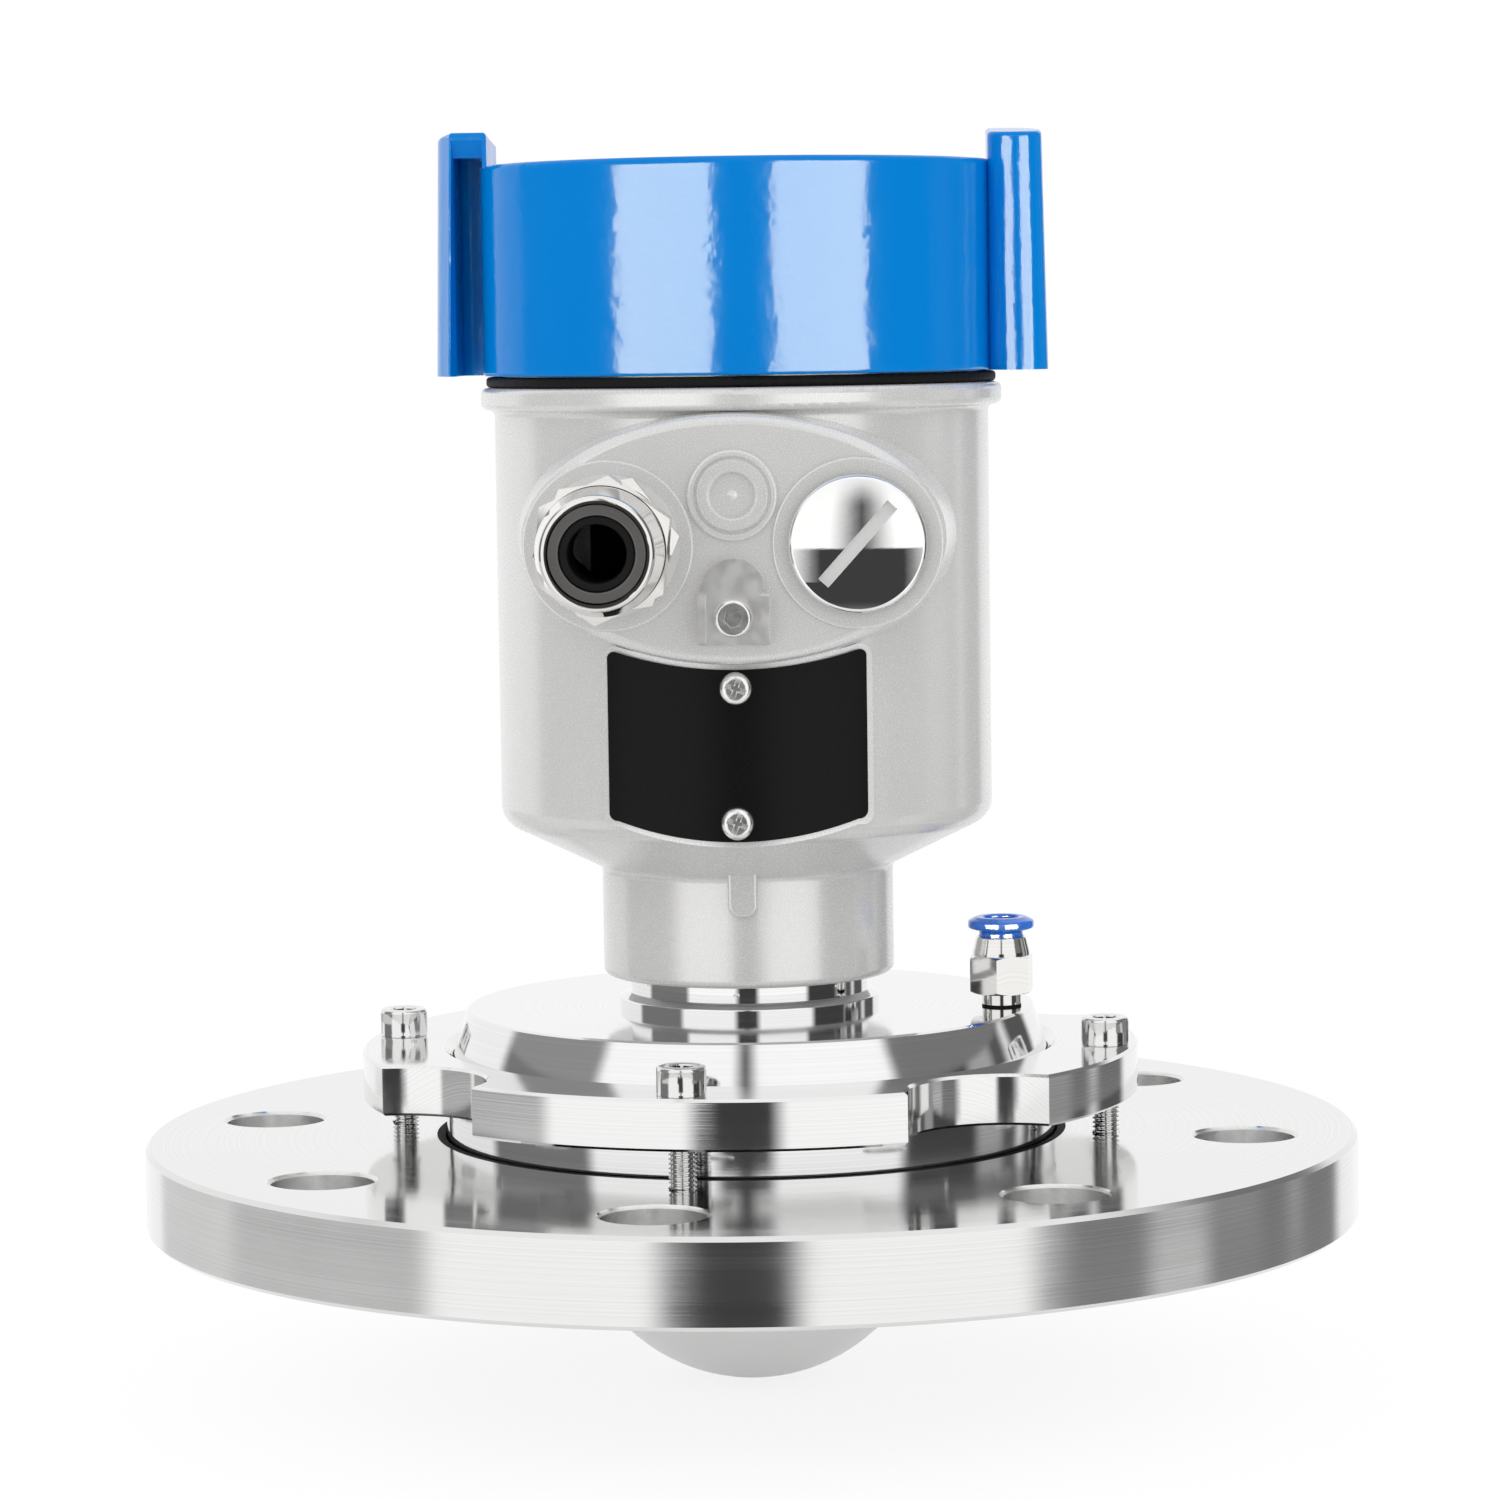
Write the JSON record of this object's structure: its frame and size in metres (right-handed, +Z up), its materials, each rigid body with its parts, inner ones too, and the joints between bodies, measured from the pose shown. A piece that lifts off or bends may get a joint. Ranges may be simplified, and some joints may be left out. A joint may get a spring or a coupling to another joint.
{
  "type": "radar level transmitter",
  "caption": "Radar level transmitter: a lens antenna below a bolted flange, aimed by a clamped ball joint, under a turning housing with cable entries and a lugged screw cap.",
  "frame": {"origin": "centre of the flange's sealing face, which seats on the vessel's nozzle", "axes": "+Z up out of the vessel along the antenna's axis, -Y the way the cable entries face, +X to the right of a viewer who faces them"},
  "size_m": [0.22, 0.22, 0.2267],
  "materials": {
    "flange_steel": "satin",
    "polished_steel": "polished",
    "mirror_steel": "polished",
    "machined_steel": "satin",
    "screw_steel": "polished",
    "spring_steel": "satin",
    "clamp_steel": "satin",
    "nickel_plate": "polished",
    "mirror_nickel": "polished",
    "guide_brass": "satin",
    "pillar_brass": "satin",
    "module_shield": "satin",
    "grey_paint": "satin",
    "blue_paint": "gloss",
    "black_plate": "gloss",
    "black_rubber": "matte",
    "white_plastic": "matte",
    "lens_plastic": "satin",
    "white_nylon": "satin",
    "grey_plastic": "satin",
    "blue_plastic": "gloss",
    "black_plastic": "matte",
    "terminal_green": "satin",
    "board_green": "satin"
  },
  "bodies": {
    "flange": {"process_flange": "flange_steel", "ball_seal": "black_rubber", "clamp_ring": "polished_steel", "clamp_screws": "screw_steel"},
    "liner": {"seat_liner": "white_plastic"},
    "head": {"swivel_ball": "polished_steel", "antenna_horn": "machined_steel", "antenna_lens": "lens_plastic", "lens_seal": "black_rubber", "process_neck": "mirror_steel", "neck_seal": "black_rubber", "retaining_ring": "spring_steel", "waveguide": "guide_brass", "purge_fitting": "nickel_plate", "purge_gasket": "black_rubber", "purge_tube_seal": "black_rubber", "purge_grip_ring": "spring_steel"},
    "purge_collar": {"purge_collar": "blue_plastic"},
    "housing": {"housing": "grey_paint", "nameplate": "black_plate", "nameplate_screws": "screw_steel", "ground_clamp": "clamp_steel", "ground_screw": "screw_steel", "gland_washer": "white_nylon", "gland_body": "nickel_plate", "electronics_cup": "black_plastic", "microwave_module": "module_shield", "main_board": "board_green", "power_board": "board_green", "board_pillars": "pillar_brass", "terminal_plate": "black_plastic", "terminal_block": "terminal_green", "terminal_screws": "screw_steel", "cup_screws": "screw_steel"},
    "gland_insert": {"gland_cage": "grey_plastic", "gland_seal": "black_rubber"},
    "gland_nut": {"gland_nut": "nickel_plate"},
    "plug_seal": {"plug_seal": "black_rubber"},
    "blind_plug": {"blind_plug": "mirror_nickel"},
    "cap_seal": {"cap_seal": "black_rubber"},
    "cap": {"cap": "blue_paint"}
  },
  "joints": [
    {"name": "swivel_turn", "type": "hinge", "parent": "flange", "child": "liner", "pos_m": [0, 0, 0.0195], "axis": [0, 0, 1], "continuous": true},
    {"name": "swivel_tilt", "type": "hinge", "parent": "liner", "child": "head", "pos_m": [0, 0, 0.0195], "axis": [1, 0, 0], "range_deg": [-8, 8]},
    {"name": "housing_turn", "type": "hinge", "parent": "head", "child": "housing", "pos_m": [0, 0, 0.0463], "axis": [0, 0, 1], "range_deg": [-165, 165]},
    {"name": "cap_lift", "type": "slide", "parent": "housing", "child": "cap_seal", "axis": [0, 0, 1], "range_m": [0, 0.0122]},
    {"name": "cap_turn", "type": "hinge", "parent": "cap_seal", "child": "cap", "pos_m": [0, 0, 0.16], "axis": [0, 0, 1], "range_deg": [0, 2160]},
    {"name": "gland_insert_slide", "type": "slide", "parent": "housing", "child": "gland_insert", "axis": [0, -1, 0], "range_m": [0, 0.0031]},
    {"name": "gland_nut_turn", "type": "hinge", "parent": "gland_insert", "child": "gland_nut", "pos_m": [-0.0214, -0.07, 0.1262], "axis": [0, -1, 0], "range_deg": [0, 720]},
    {"name": "plug_seal_slide", "type": "slide", "parent": "housing", "child": "plug_seal", "axis": [0, -1, 0], "range_m": [0, 0.0099]},
    {"name": "blind_plug_turn", "type": "hinge", "parent": "plug_seal", "child": "blind_plug", "pos_m": [0.0214, -0.05, 0.1262], "axis": [0, -1, 0], "range_deg": [0, 2340]},
    {"name": "purge_collar_press", "type": "slide", "parent": "head", "child": "purge_collar", "axis": [0, 0, -1], "range_m": [0, 0.0008], "stiffness_N_per_m": 800, "springref_m": -0.0005}
  ],
  "couplings": [
    {"joint": "cap_lift", "follows": "cap_turn", "m_per_rad": 0.00031831},
    {"joint": "gland_insert_slide", "follows": "gland_nut_turn", "m_per_rad": 0.00023873},
    {"joint": "plug_seal_slide", "follows": "blind_plug_turn", "m_per_rad": 0.00023873}
  ]
}
